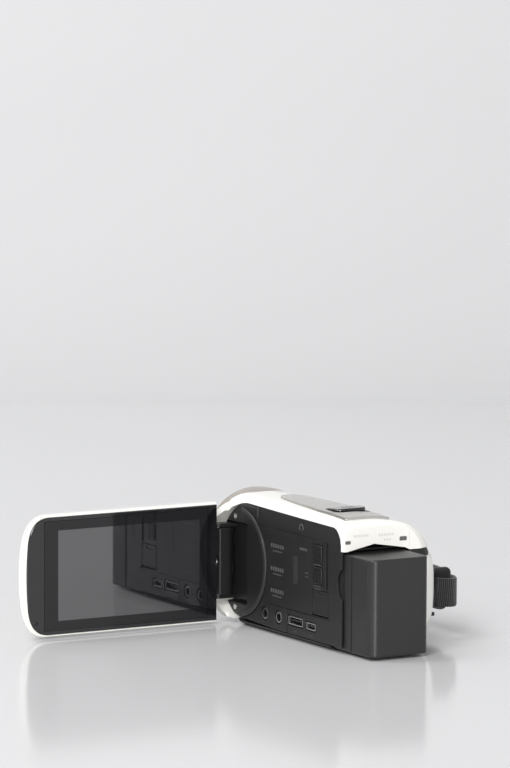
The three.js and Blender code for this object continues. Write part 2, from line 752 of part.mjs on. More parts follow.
// The shell's far end slopes in towards its back.
function screenBack() {
  const half = SCREEN.thick / 2;
  const end = SCREEN.near + SCREEN.length;
  const slope = polygon([
    [end + 1, half - 1.5],
    [end, half - 1.5],
    [end - 1.6, 0],
    [end - 4.8, -half],
    [end + 1, -half],
  ]);
  return cut(
    screenSlab(0, -half, half - 0.4),
    screenSlab(1.5, 0, half),
    common(screenSlab(1.5, -half + 1.6, half), box(0, end - 6, -half, half, -40, 40)),
    prism("z", -40, 40, slope),
    rod("x", 0, 5, 0, 0, TILT.r + 0.05, 24),
  );
}

const VIEW = { x0: 10.6, x1: 75.9, z0: -18.35, z1: 18.4, y: 3.1 };

function screenFrame() {
  const half = SCREEN.thick / 2;
  return cut(
    screenSlab(1.8, half - 1.4, half),
    box(VIEW.x0 - 4, VIEW.x1 + 6.5, half - 0.6, half + 1, -22.4, 22.4),
    box(VIEW.x0 - 1, VIEW.x1 + 1, 0, half, VIEW.z0 - 1, VIEW.z1 + 1),
  );
}

function screenGlass() {
  const half = SCREEN.thick / 2;
  return box(VIEW.x0 - 3.7, VIEW.x1 + 6.2, half - 0.35, half - 0.05, -22.1, 22.1);
}

const displayPanel = () => box(VIEW.x0 - 0.7, VIEW.x1 + 0.7, 0.6, 3, VIEW.z0 - 0.7, VIEW.z1 + 0.7);

function knuckle() {
  const half = KNUCKLE.thick / 2;
  const outline = new THREE.Shape();
  outline.moveTo(KNUCKLE.out, half);
  outline.lineTo(-KNUCKLE.in + half, half);
  outline.absarc(-KNUCKLE.in + half, 0, half, Math.PI / 2, 1.5 * Math.PI);
  outline.lineTo(KNUCKLE.out, -half);
  const block = prism("z", -KNUCKLE.height / 2, KNUCKLE.height / 2, outline, 12);
  return cut(block, rod("z", -30, 30, 0, 0, PIN_R, 16));
}

// The tilt shaft: a short axle between the knuckle and the screen.
const tiltShaft = () =>
  join(
    rod("x", KNUCKLE.out + GAP, KNUCKLE.out + 0.8, 0, 0, TILT.collar, 24),
    rod("x", KNUCKLE.out + GAP, 6.9, 0, 0, TILT.r, 24),
  );

// ---- Assembly ----
const camcorder = new THREE.Group();
function place(parent, name, part, material) {
  const mesh = new THREE.Mesh(geometryOf(part), material);
  mesh.name = name;
  parent.add(mesh);
}
function groupAt(x, y, z) {
  const group = new THREE.Group();
  group.position.set(x, y, z);
  camcorder.add(group);
  return group;
}

const body = groupAt(0, 0, 0);
place(body, "left_cover", leftCover(), look.white());
place(body, "right_cover", rightCover(), look.white());
place(body, "front_ring", frontRing(), look.champagne());
place(body, "lens_bezel", lensBezel(), look.gloss());
place(body, "base_cover", basePlate(), look.black());
place(body, "tripod_socket", tripodSocket(), look.metal());
place(body, "bay_panel", bayPanel(), look.black());
place(body, "hinge_well", hingeWell(), look.black());
place(body, "hinge_bracket", hingeBracket(), look.darkGrey());
place(body, "hinge_pin", hingePin(), look.metal());
place(body, "hinge_screw_upper", hingeScrew(HINGE_SCREWS[0]), look.metal());
place(body, "hinge_screw_lower", hingeScrew(HINGE_SCREWS[1]), look.metal());
place(body, "top_plate", topPlate(), look.silver());
place(body, "zoom_lever", zoomLever(), look.darkGrey());
place(body, "access_light", lightWindow(ACCESS_LIGHT), look.glass());
place(body, "charge_light", lightWindow(CHARGE_LIGHT), look.glass());
place(body, "main_board", board(), look.board());
JACKS.forEach((y, i) => place(body, ["microphone_jack", "av_jack"][i], roundJack(y), look.metal()));
place(body, "video_socket", flatSocket(SOCKETS.video), look.gold());
place(body, "data_socket", flatSocket(SOCKETS.data), look.gold());
place(body, "power_button", bayButton(BUTTONS.power), look.black());
place(body, "mode_button", bayButton(BUTTONS.mode), look.black());
place(body, "card_cover", cardCover(), look.black());
place(body, "card_slot", cardSlot(), look.metal());
place(body, "memory_card", memoryCard(), look.darkGrey());
place(body, "battery_bay", batteryBay(), look.black());
place(body, "battery_contacts", batteryContacts(), look.gold());
place(body, "battery_latch", latch(), look.darkGrey());
place(body, "battery", battery(), look.darkGrey());
place(body, "rear_panel", rearPanel(), look.black());
place(body, "record_button", thumbButton(), look.metal());
place(body, "charge_socket", chargeSocket(), look.metal());
place(body, "microphone_left", microphone(1), look.metal());
place(body, "microphone_right", microphone(-1), look.metal());
place(body, "speaker", speaker(), look.darkGrey());
place(body, "lens_barrel", lensBarrel(), look.darkGrey());
place(body, "sensor_board", sensorBoard(), look.board());
place(body, "image_sensor", imageSensor(), look.gloss());
place(body, "zoom_motor", motor(-34, LENS.x - 12, 9.4), look.metal());
place(body, "focus_motor", motor(-8, LENS.x - 12, 9.4), look.metal());
place(body, "lens_cover_switch", coverSwitch(), look.black());
STRAP_ANCHORS.forEach((anchor, i) =>
  place(body, ["strap_anchor_front", "strap_anchor_rear"][i], strapAnchor(anchor), look.metal()),
);
place(body, "strap_band", strapBand(), look.fabric());
place(body, "strap_pad", strapPad(), look.fabric());

const optics = groupAt(LENS.x, 0, LENS.z);
place(optics, "front_lens", lensDisc(-48, -44.5, 13.4, 2), look.glass());
place(optics, "zoom_lens", carrier(-32, -28), look.darkGrey());
place(optics, "focus_lens", carrier(-7, -4), look.darkGrey());
place(optics, "iris_unit", irisUnit(), look.black());
ROD_ANGLES.forEach((at, i) => place(optics, "guide_rod_" + (i + 1), guideRod(at), look.metal()));
place(optics, "shutter_blade_upper", barrier(1), look.black());
place(optics, "shutter_blade_lower", barrier(-1), look.black());

const screen = groupAt(PIVOT.x, PIVOT.y, PIVOT.z);
place(screen, "hinge_knuckle", knuckle(), look.black());
place(screen, "tilt_shaft", tiltShaft(), look.metal());
place(screen, "screen_back", screenBack(), look.white());
place(screen, "screen_frame", screenFrame(), look.black());
place(screen, "screen_glass", screenGlass(), look.gloss());
place(screen, "display_panel", displayPanel(), look.gloss());

export default camcorder;
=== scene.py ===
"""The looks of a compact camcorder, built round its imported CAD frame.

The lens looks along -Y, the screen opens towards +X and the hand strap is on -X, with +Z up.
Shapes are worked out in millimetres, as the CAD is, and become metres when a piece is finished.
"""

import json
import math

import bmesh
import bpy
import numpy as np
from mathutils import Matrix, Vector


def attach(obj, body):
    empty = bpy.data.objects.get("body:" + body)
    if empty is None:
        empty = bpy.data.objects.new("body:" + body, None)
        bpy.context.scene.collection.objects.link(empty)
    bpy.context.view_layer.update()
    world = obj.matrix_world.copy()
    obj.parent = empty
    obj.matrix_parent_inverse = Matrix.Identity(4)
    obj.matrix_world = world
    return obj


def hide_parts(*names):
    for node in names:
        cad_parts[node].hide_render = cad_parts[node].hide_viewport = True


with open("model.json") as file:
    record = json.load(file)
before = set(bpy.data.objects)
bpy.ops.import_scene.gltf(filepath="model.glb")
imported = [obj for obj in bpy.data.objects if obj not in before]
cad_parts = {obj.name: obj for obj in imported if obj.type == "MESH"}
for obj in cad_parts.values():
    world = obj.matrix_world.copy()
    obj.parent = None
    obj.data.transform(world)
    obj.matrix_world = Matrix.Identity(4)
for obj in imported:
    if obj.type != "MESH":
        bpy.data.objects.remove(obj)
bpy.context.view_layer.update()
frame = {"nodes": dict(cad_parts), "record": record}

MM = 0.001
SCENE = bpy.context.scene

# ---- Driving dimensions, in millimetres ----
# As in the CAD, but for the cheek, the height and place of the zoom lever and the path of the strap.
WALL = 1.8
GAP = 0.3
BAY_X = 18.6
PANEL = 0.9
BAY = dict(front=-21, middle=25.6, radius=25.6, top=50.1, rear=53.1, corner=7.8)
# The cheek in front of the hinge: centre and half width in X, half height, squareness, and how far
# its rim reaches beyond the bay at its foot and at its edge.
CHEEK = dict(x=10, width=15.2, height=26, n=2.8, foot=4.4, edge=2.4)
BASE_Z = 2.2
REAR_Y = 55
SEAM_X = -11.5
RIM = dict(side=-49, z=36, bend=(-45, 52), top=(-28.5, 54.9))
LENS = dict(x=-2.8, z=30.8)
PIVOT = Vector((23.4, -37.6, 25.7))
SCREEN = dict(near=2.27, length=91.5, height=49.4, thick=7.4, corner=13)
VIEW = dict(x0=10.6, x1=75.9, z=18.4)
KNUCKLE = dict(inner=6.6, outer=1.2, height=27.6, thick=7.2)
WELL = dict(y=-29.1, z=26.6, r=22.9)
TOP = dict(y0=-13, y1=48.6, x=4, half=10.4, tip=4.4)
LEVER = dict(x=3.6, y=32.6, length=15, width=6.6, z=53.4, top=55.5, stem=1.3)
ACCESS_LIGHT = dict(x=17, z=45, w=2.6, h=1.4)
CHARGE_LIGHT = dict(x=-8.6, z=45, w=3.4, h=1.7)
BATTERY = dict(x0=-9.9, x1=17.4, y0=43.6, y1=73.3, z0=1.4, z1=40.3)
JACKS = (-7.4, 3.6)
JACK_Z = 7.8
SOCKETS = [(11.4, 22.6, 6.4, 9.8), (25.6, 32.6, 6.3, 9.2)]
BUTTONS = [(30.9, 37.6, 34.2, 41.4), (30.9, 37.6, 25.6, 32.6)]
CARD = dict(y0=30.2, y1=42.4, z0=13, z1=23.2)
SLOT = dict(y0=40.6, y1=42.4, z0=24.2, z1=43.4)
NOTCH = dict(y=57, z=28, r=7.4)
HINGE_SCREWS = (44.5, 6.9)
STRAP = dict(width=11.6, thick=1.6)
STRAP_ANCHORS = [(-32, 25), (40, 19.4)]
STRAP_PATH = [
    (-32.9, -33, 25),
    (-38, -27.6, 23),
    (-45, -14, 20.2),
    (-48.6, 5, 18.2),
    (-48.8, 22, 17.8),
    (-46.6, 33, 18.2),
    (-42, 39, 18.4),
    (-32.9, 41, 19.4),
]

# The outer form along Y: centre in X, half widths to the left and right of it, centre in Z, half
# heights above and below it, and the squareness of the upper left, upper right, lower left and
# lower right quarters.
SECTIONS = [
    (-56, -2.8, 20.9, 20.9, 30.9, 20.9, 20.9, 2, 2, 2, 2),
    (-54.5, -2.8, 21.9, 21.9, 30.8, 21.7, 21.9, 2, 2, 2, 2),
    (-46, -1, 20.4, 24.7, 29.8, 23.6, 24.4, 2.5, 2.1, 2.4, 2.3),
    (-38, 2.5, 16.8, 28.9, 28.2, 25.6, 26.2, 4.6, 2.1, 4, 2.8),
    (-28, 5.5, 13.8, 32.3, 26.9, 27.2, 27.6, 6.6, 2.2, 8, 3.4),
    (10, 6, 13.3, 33.4, 26.9, 27.3, 27.6, 7, 2.2, 9, 3.6),
    (36, 6, 13.3, 34.2, 26.6, 27.1, 27.3, 7, 2.2, 9, 3.6),
    (47, 6, 13.3, 33.8, 26.1, 27, 26.8, 7, 2.25, 9, 3.6),
    (52.8, 6, 13.2, 28.4, 25.9, 26.5, 26.6, 7, 3.1, 9, 4),
    (53.9, 6, 13, 26.4, 25.8, 26.1, 26.3, 7, 3.3, 9, 4.2),
    (REAR_Y, 6, 12.6, 23.6, 25.7, 25.2, 25.6, 7, 3.8, 9, 4.5),
]


# ---- Solids in millimetres ----
def solid(points, faces):
    mesh = bpy.data.meshes.new("tool")
    mesh.from_pydata([tuple(p) for p in points], [], faces)
    bm = bmesh.new()
    bm.from_mesh(mesh)
    bmesh.ops.remove_doubles(bm, verts=bm.verts, dist=1e-5)
    bmesh.ops.recalc_face_normals(bm, faces=bm.faces)
    bm.to_mesh(mesh)
    bm.free()
    obj = bpy.data.objects.new("tool", mesh)
    SCENE.collection.objects.link(obj)
    return obj


def skin(rings):
    """A closed solid through rings that have the same number of points."""
    count = len(rings[0])
    faces = [
        (k * count + i, k * count + (i + 1) % count, (k + 1) * count + (i + 1) % count, (k + 1) * count + i)
        for k in range(len(rings) - 1)
        for i in range(count)
    ]
    last = (len(rings) - 1) * count
    faces += [tuple(range(count)), tuple(last + i for i in range(count))]
    return solid([p for ring in rings for p in ring], faces)


def place_on(axis, u, v, at):
    """The point with coordinate at on an axis; u and v are the other two, in x, y, z order."""
    return {"x": (at, u, v), "y": (u, at, v), "z": (u, v, at)}[axis]


def prism(axis, start, end, outline):
    return skin([[place_on(axis, u, v, at) for u, v in outline] for at in (start, end)])


def box(x0, x1, y0, y1, z0, z1):
    return prism("z", z0, z1, [(x0, y0), (x1, y0), (x1, y1), (x0, y1)])


def arc(u, v, r, start, end, steps=12):
    """Points on an arc, from one angle to another in degrees."""
    angles = [math.radians(start + (end - start) * i / steps) for i in range(steps + 1)]
    return [(u + r * math.cos(a), v + r * math.sin(a)) for a in angles]


def rod(axis, start, end, u, v, r, sides=64, r2=None):
    rings = []
    for at, radius in ((start, r), (end, r if r2 is None else r2)):
        rings.append([place_on(axis, a, b, at) for a, b in arc(u, v, radius, 0, 360, sides)[:-1]])
    return skin(rings)


def round_rect(u0, u1, v0, v1, r, steps=8):
    return (
        arc(u1 - r, v1 - r, r, 0, 90, steps)
        + arc(u0 + r, v1 - r, r, 90, 180, steps)
        + arc(u0 + r, v0 + r, r, 180, 270, steps)
        + arc(u1 - r, v0 + r, r, 270, 360, steps)
    )


def bend(start, control, end, steps=12):
    """Points on a quadratic curve, its start left out."""
    found = []
    for i in range(1, steps + 1):
        t = i / steps
        a, b, c = (1 - t) ** 2, 2 * t * (1 - t), t * t
        found.append(tuple(a * p + b * q + c * r for p, q, r in zip(start, control, end)))
    return found


def turned(profile, axis, u, v, sides=96):
    """A profile of (radius, distance) turned about an axis; radii are above zero."""
    rings = []
    for radius, at in profile:
        rings.append([place_on(axis, a, b, at) for a, b in arc(u, v, radius, 0, 360, sides)[:-1]])
    return skin(rings)


def applied(obj):
    """The object with its modifiers made part of its mesh."""
    bpy.context.view_layer.update()
    evaluated = obj.evaluated_get(bpy.context.evaluated_depsgraph_get())
    mesh = bpy.data.meshes.new_from_object(evaluated)
    obj.modifiers.clear()
    obj.data = mesh
    return obj


def boolean(operation, base, tools):
    for tool in tools:
        modifier = base.modifiers.new("boolean", "BOOLEAN")
        modifier.operation = operation
        modifier.object = tool
        modifier.solver = "MANIFOLD"
    applied(base)
    for tool in tools:
        bpy.data.objects.remove(tool)
    return base


def join(base, *tools):
    return boolean("UNION", base, tools)


def cut(base, *tools):
    return boolean("DIFFERENCE", base, tools)


def common(base, *tools):
    return boolean("INTERSECT", base, tools)


def rounded(obj, width, segments=2, angle=35, clamp=True):
    """Sharp edges rounded off, once flat faces are whole again."""
    bm = bmesh.new()
    bm.from_mesh(obj.data)
    bmesh.ops.remove_doubles(bm, verts=bm.verts, dist=0.004)
    bmesh.ops.dissolve_limit(
        bm, angle_limit=math.radians(0.6), verts=bm.verts, edges=bm.edges, use_dissolve_boundaries=False
    )
    sharp = [e for e in bm.edges if e.is_manifold and e.calc_face_angle(0) > math.radians(angle)]
    bmesh.ops.bevel(
        bm,
        geom=sharp,
        offset=width,
        offset_type="OFFSET",
        segments=segments,
        profile=0.5,
        affect="EDGES",
        clamp_overlap=clamp,
        miter_outer="ARC",
    )
    bm.to_mesh(obj.data)
    bm.free()
    return obj


# ---- Materials ----
def principled(name, color, roughness, metallic=0.0, coat=0.0, ior=1.5):
    made = bpy.data.materials.new(name)
    made.use_nodes = True
    shader = made.node_tree.nodes["Principled BSDF"]
    shader.inputs["Base Color"].default_value = (*color, 1)
    shader.inputs["Roughness"].default_value = roughness
    shader.inputs["Metallic"].default_value = metallic
    shader.inputs["Coat Weight"].default_value = coat
    shader.inputs["Coat Roughness"].default_value = 0.06
    shader.inputs["IOR"].default_value = ior
    return made, shader


def node(material, kind, **inputs):
    made = material.node_tree.nodes.new(kind)
    for key, value in inputs.items():
        made.inputs[key.replace("_", " ")].default_value = value
    return made


def link(material, source, output, target, socket):
    material.node_tree.links.new(source.outputs[output], target.inputs[socket])


def noise_texture(material, scale, detail=3.0, stretch=(1, 1, 1)):
    """Noise in the object's own metres; scale is in waves per metre."""
    place = node(material, "ShaderNodeTexCoord")
    mapping = node(material, "ShaderNodeMapping", Scale=stretch)
    texture = node(material, "ShaderNodeTexNoise", Scale=scale, Detail=detail)
    link(material, place, "Object", mapping, "Vector")
    link(material, mapping, "Vector", texture, "Vector")
    return texture


def vary_color(material, shader, texture, low, high):
    ramp = node(material, "ShaderNodeValToRGB")
    ramp.color_ramp.elements[0].position = 0.3
    ramp.color_ramp.elements[1].position = 0.7
    ramp.color_ramp.elements[0].color = (*low, 1)
    ramp.color_ramp.elements[1].color = (*high, 1)
    link(material, texture, 0, ramp, "Fac")
    link(material, ramp, "Color", shader, "Base Color")


def vary_roughness(material, shader, texture, low, high):
    spread = node(material, "ShaderNodeMapRange", To_Min=low, To_Max=high)
    link(material, texture, 0, spread, "Value")
    link(material, spread, "Result", shader, "Roughness")


def add_bump(material, shader, texture, strength, depth):
    """Depth is in metres."""
    bump = node(material, "ShaderNodeBump", Strength=strength, Distance=depth)
    link(material, texture, 0, bump, "Height")
    link(material, bump, "Normal", shader, "Normal")


def shade(color, factor):
    return tuple(min(1.0, c * factor) for c in color)


def moulded(name, color, roughness, grain, depth, coat=0.0, tint=0.06, spread=0.06):
    """Moulded plastic: slow changes of tone, uneven gloss, and a surface grain of grain per metre."""
    made, shader = principled(name, color, roughness, coat=coat)
    slow = noise_texture(made, 45, 2)
    vary_color(made, shader, slow, shade(color, 1 - tint), shade(color, 1 + tint))
    fine = noise_texture(made, grain, 2)
    vary_roughness(made, shader, fine, roughness - spread, roughness + spread)
    add_bump(made, shader, fine, 0.35, depth)
    return made


def metal(name, color, roughness, stretch=(1, 1, 1), scale=2500, spread=0.07):
    """Metal or metallic paint; a stretched noise gives brushed lines."""
    made, shader = principled(name, color, roughness, metallic=1.0)
    lines = noise_texture(made, scale, 2, stretch)
    vary_color(made, shader, lines, shade(color, 0.93), shade(color, 1.05))
    vary_roughness(made, shader, lines, roughness - spread, roughness + spread)
    add_bump(made, shader, lines, 0.12, 0.00002)
    return made


def white_shell():
    return moulded("white_shell", (0.80, 0.79, 0.74), 0.24, 700, 0.00002, coat=0.6, tint=0.012, spread=0.04)


def champagne_paint():
    made, shader = principled("champagne_paint", (0.34, 0.28, 0.22), 0.36, metallic=0.8, coat=0.3)
    flake = noise_texture(made, 5200, 1)
    vary_color(made, shader, flake, (0.31, 0.255, 0.20), (0.38, 0.32, 0.255))
    vary_roughness(made, shader, flake, 0.28, 0.4)
    return made


def circuit_board():
    made, shader = principled("circuit_board", (0.02, 0.13, 0.05), 0.35, coat=0.3)
    place = node(made, "ShaderNodeTexCoord")
    tracks = node(made, "ShaderNodeTexVoronoi", Scale=420)
    tracks.distance = "MANHATTAN"
    link(made, place, "Object", tracks, "Vector")
    vary_color(made, shader, tracks, (0.012, 0.09, 0.035), (0.05, 0.2, 0.08))
    add_bump(made, shader, tracks, 0.2, 0.00003)
    return made


def webbing(name, ribs, rows, low, high):
    """Woven strap: ribs across and yarns along, counted over the strap's own length and width."""
    made, shader = principled(name, low, 0.85)
    shader.inputs["Sheen Weight"].default_value = 0.25
    shader.inputs["Sheen Roughness"].default_value = 0.4
    place = node(made, "ShaderNodeUVMap")
    stretch = node(made, "ShaderNodeMapping", Scale=(ribs, rows, 1))
    link(made, place, "UV", stretch, "Vector")
    weave = node(made, "ShaderNodeTexWave", Scale=1.0, Distortion=0.6, Detail=1.0)
    weave.bands_direction = "X"
    yarn = node(made, "ShaderNodeTexWave", Scale=1.0, Distortion=0.4, Detail=1.0)
    yarn.bands_direction = "Y"
    both = node(made, "ShaderNodeMath")
    both.operation = "MULTIPLY"
    for texture, slot in ((weave, 0), (yarn, 1)):
        link(made, stretch, "Vector", texture, "Vector")
        link(made, texture, "Fac", both, slot)
    vary_color(made, shader, both, low, high)
    add_bump(made, shader, both, 0.8, 0.0003)
    return made


def mesh_fabric():
    """Padded fabric with a fine open knit."""
    made, shader = principled("pad_fabric", (0.012, 0.012, 0.013), 0.9)
    shader.inputs["Sheen Weight"].default_value = 0.3
    place = node(made, "ShaderNodeTexCoord")
    cells = node(made, "ShaderNodeTexVoronoi", Scale=1300)
    link(made, place, "Object", cells, "Vector")
    vary_color(made, shader, cells, (0.006, 0.006, 0.007), (0.03, 0.03, 0.033))
    add_bump(made, shader, cells, 0.7, 0.0003)
    return made


def lens_glass():
    made, shader = principled("lens_glass", (0.92, 0.95, 1.0), 0.02, ior=1.52)
    shader.inputs["Transmission Weight"].default_value = 1.0
    shader.inputs["Coat Weight"].default_value = 0.5
    shader.inputs["Coat Tint"].default_value = (0.55, 0.4, 0.9, 1)
    smears = noise_texture(made, 120, 3)
    vary_roughness(made, shader, smears, 0.005, 0.035)
    return made


def smoked_window():
    made, shader = principled("light_window", (0.10, 0.10, 0.10), 0.15, coat=0.5)
    cloud = noise_texture(made, 900, 2)
    vary_color(made, shader, cloud, (0.07, 0.07, 0.07), (0.13, 0.13, 0.13))
    return made


def glossy_glass(name, color, ior):
    made, shader = principled(name, color, 0.03, ior=ior)
    smears = noise_texture(made, 60, 4)
    vary_roughness(made, shader, smears, 0.012, 0.05)
    return made


PAINT = {
    "white_shell": white_shell(),
    "champagne_trim": champagne_paint(),
    "silver_trim": metal("silver_trim", (0.66, 0.65, 0.62), 0.34, (1, 0.05, 1), 2200),
    "black_plastic": moulded("black_plastic", (0.008, 0.008, 0.0085), 0.40, 5200, 0.00005),
    "grey_plastic": moulded("grey_plastic", (0.030, 0.030, 0.031), 0.40, 4200, 0.00005),
    "battery_plastic": moulded("battery_plastic", (0.0155, 0.0155, 0.016), 0.40, 3600, 0.00006),
    "gloss_black": moulded("gloss_black", (0.006, 0.006, 0.007), 0.08, 500, 0.000008, coat=0.8, spread=0.02),
    "steel": metal("steel", (0.58, 0.58, 0.57), 0.28, (1, 1, 0.1)),
    "gold_contact": metal("gold_contact", (0.78, 0.58, 0.30), 0.25),
    "circuit_board": circuit_board(),
    "lens_glass": lens_glass(),
    "light_window": smoked_window(),
    "screen_glass": glossy_glass("screen_glass", (0.010, 0.010, 0.011), 1.5),
    "display": glossy_glass("display", (0.006, 0.006, 0.008), 2.6),
    "webbing": webbing("webbing", 26, 8, (0.004, 0.004, 0.0045), (0.06, 0.06, 0.063)),
    "pad_fabric": mesh_fabric(),
    "print": moulded("print", (0.58, 0.58, 0.56), 0.6, 3000, 0.00001),
    "dark_print": moulded("dark_print", (0.075, 0.075, 0.075), 0.6, 3000, 0.00001),
    "button_black": moulded("button_black", (0.007, 0.007, 0.0075), 0.28, 4200, 0.00003),
    # Near-black and dull: painted shade for the depth seen through the bay's finger notch.
    "painted_shade_black": moulded("painted_shade_black", (0.002, 0.002, 0.002), 0.8, 3000, 0.00001),
    "label_grey": moulded("label_grey", (0.020, 0.020, 0.0195), 0.5, 3000, 0.00001),
    "arc_grey": moulded("arc_grey", (0.030, 0.030, 0.031), 0.3, 4200, 0.00003),
}


def finished(obj, name, body, paints, replaces=(), smooth=32, shift=(0, 0, 0)):
    """A solid in millimetres becomes a named piece in metres that rides on its body."""
    obj.data.transform(Matrix.Scale(MM, 4) @ Matrix.Translation(Vector(shift)))
    obj.data.shade_smooth()
    obj.data.set_sharp_from_angle(angle=math.radians(smooth))
    weighted = obj.modifiers.new("weighted", "WEIGHTED_NORMAL")
    weighted.keep_sharp = True
    applied(obj)
    obj.name = obj.data.name = name
    obj.data.materials.clear()
    for paint in [paints] if isinstance(paints, str) else paints:
        obj.data.materials.append(PAINT[paint])
    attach(obj, body)
    if replaces:
        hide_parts(*replaces)
    return obj


# ---- Camera, stage and light ----
CAMERA_AT = Vector((1.0918, 1.8309, 0.3600))
CAMERA_AZIMUTH, CAMERA_PITCH, CAMERA_ROLL = (math.radians(a) for a in (149.84, -6.92, 0.25))


def make_camera():
    data = bpy.data.cameras.new("camera")
    data.sensor_fit = "VERTICAL"
    data.sensor_height = 36
    data.sensor_width = 36
    data.lens = 248.9
    camera = bpy.data.objects.new("camera", data)
    turn = Matrix.Rotation(CAMERA_AZIMUTH, 4, "Z")
    tilt = Matrix.Rotation(math.radians(90) + CAMERA_PITCH, 4, "X")
    roll = Matrix.Rotation(CAMERA_ROLL, 4, "Z")
    camera.matrix_world = Matrix.Translation(CAMERA_AT) @ turn @ tilt @ roll
    SCENE.collection.objects.link(camera)
    SCENE.camera = camera


def see_through_from_behind(material, shader):
    """A camera that stands behind the backdrop looks through it."""
    seen = node(material, "ShaderNodeLightPath")
    side = node(material, "ShaderNodeNewGeometry")
    both = node(material, "ShaderNodeMath")
    both.operation = "MULTIPLY"
    link(material, seen, "Is Camera Ray", both, 0)
    link(material, side, "Backfacing", both, 1)
    mix = node(material, "ShaderNodeMixShader")
    clear = node(material, "ShaderNodeBsdfTransparent")
    link(material, both, "Value", mix, 0)
    link(material, shader, "BSDF", mix, 1)
    link(material, clear, "BSDF", mix, 2)
    link(material, mix, "Shader", material.node_tree.nodes["Material Output"], "Surface")


def make_stage():
    """A glossy white table that sweeps up into the backdrop, away from the camera."""
    near, far, height, r = 2.6, 0.75, 3.0, 0.5
    sweep = np.linspace(0, math.pi / 2, 24)
    profile = [(near, 0)] + [(-far - r * math.sin(a), r - r * math.cos(a)) for a in sweep]
    profile.append((-far - r, height))
    points = [(side * 3.2, y, z) for y, z in profile for side in (-1, 1)]
    faces = [(2 * i, 2 * i + 2, 2 * i + 3, 2 * i + 1) for i in range(len(profile) - 1)]
    mesh = bpy.data.meshes.new("table")
    mesh.from_pydata(points, [], faces)
    mesh.shade_smooth()
    floor = bpy.data.objects.new("table", mesh)
    floor.rotation_euler.z = CAMERA_AZIMUTH - math.pi
    SCENE.collection.objects.link(floor)
    made, shader = principled("table_gloss", (0.545, 0.545, 0.55), 0.12, ior=1.26)
    scuffs = noise_texture(made, 6, 4)
    vary_roughness(made, shader, scuffs, 0.10, 0.16)
    see_through_from_behind(made, shader)
    mesh.materials.append(made)


def area_light(name, at, aim, size, power):
    data = bpy.data.lights.new(name, "AREA")
    data.shape = "RECTANGLE"
    data.size, data.size_y = size
    data.energy = power
    light = bpy.data.objects.new(name, data)
    light.location = at
    light.rotation_euler = (Vector(aim) - Vector(at)).to_track_quat("-Z", "Y").to_euler()
    SCENE.collection.objects.link(light)


def make_lights():
    world = bpy.data.worlds.new("studio")
    world.use_nodes = True
    background = world.node_tree.nodes["Background"]
    background.inputs["Color"].default_value = (0.985, 0.985, 1.0, 1)
    background.inputs["Strength"].default_value = 0.58
    SCENE.world = world
    area_light("key", (1.6, 1.35, 1.3), (0, 0, 0.03), (1.1, 1.1), 47)
    area_light("rear", (0.35, 1.9, 0.22), (0, 0, 0.03), (0.6, 0.4), 12)
    area_light("top", (-0.1, 0.1, 1.9), (0, 0, 0), (1.6, 1.6), 2)
    area_light("backdrop", (0.9, -0.6, 1.9), (0.1, -1.5, 0.6), (1.2, 1.0), 26)
    SCENE.view_settings.view_transform = "Standard"


# ---- Outer form ----
RING_POINTS = 160
STEPS = 5


def power(value, n):
    return math.copysign(abs(value) ** (2 / n), value)


def sections():
    """The sections with smooth steps between them, so that the form has no facets."""
    rows = np.array(SECTIONS, float)
    slopes = np.zeros_like(rows)
    for i in range(1, len(rows) - 1):
        before = (rows[i] - rows[i - 1]) / (rows[i, 0] - rows[i - 1, 0])
        after = (rows[i + 1] - rows[i]) / (rows[i + 1, 0] - rows[i, 0])
        same = before * after > 0
        slopes[i] = np.where(same, 2 * before * after / np.where(same, before + after, 1), 0)
    slopes[0] = (rows[1] - rows[0]) / (rows[1, 0] - rows[0, 0])
    slopes[-1] = (rows[-1] - rows[-2]) / (rows[-1, 0] - rows[-2, 0])
    found = []
    for i in range(len(rows) - 1):
        step = rows[i + 1, 0] - rows[i, 0]
        for t in np.arange(STEPS) / STEPS:
            a, b = (1 + 2 * t) * (1 - t) ** 2, t * (1 - t) ** 2
            c, d = t * t * (3 - 2 * t), t * t * (t - 1)
            row = a * rows[i] + b * step * slopes[i] + c * rows[i + 1] + d * step * slopes[i + 1]
            row[0] = rows[i, 0] + t * step
            found.append(row)
    return found + [rows[-1]]


def outer_form(inset):
    first, last = SECTIONS[0][0] + inset, REAR_Y - inset
    rings = []
    for row in sections():
        _, cx, left, right, cz, up, down = row[:7]
        y = min(max(row[0], first), last)
        ring = []
        for i in range(RING_POINTS):
            t = 2 * math.pi * (i + 0.5) / RING_POINTS
            c, s = math.cos(t), math.sin(t)
            n = row[7 + (0 if c > 0 else 1) + (0 if s > 0 else 2)]
            a, b = left if c > 0 else right, up if s > 0 else down
            ring.append((cx + (a - inset) * power(c, n), y, cz + (b - inset) * power(s, n)))
        rings.append(ring)
    kept = [r for i, r in enumerate(rings) if i == 0 or abs(r[0][1] - rings[i - 1][0][1]) > 1e-6]
    return skin(kept)


def outside():
    return common(outer_form(0), box(-60, 60, -80, 90, 0, 80))


def rim_outline(shift):
    side, bend_at, top = RIM["side"] + shift, RIM["bend"], RIM["top"]
    points = [(-90, -5), (side, -5), (side, RIM["z"])]
    points += bend((side, RIM["z"]), (bend_at[0] + shift, bend_at[1]), (top[0] + shift, top[1]))
    return points + [(top[0] + shift, 60), (-90, 60)]


def bay_outline(shrink):
    r = BAY["radius"] - shrink
    top, rear = BAY["top"] - shrink, BAY["rear"] - shrink
    corner = arc(rear - BAY["corner"], top - BAY["corner"], BAY["corner"], 0, 90, 16)
    front = arc(BAY["front"], BAY["middle"], r, 90, 270, 64)
    return [(rear, BAY["middle"] - r)] + corner + front


def bay(shrink, x0, x1):
    return prism("x", x0, x1, bay_outline(shrink))


def well(r, x0, x1):
    return rod("x", x0, x1, WELL["y"], WELL["z"], r, 120)


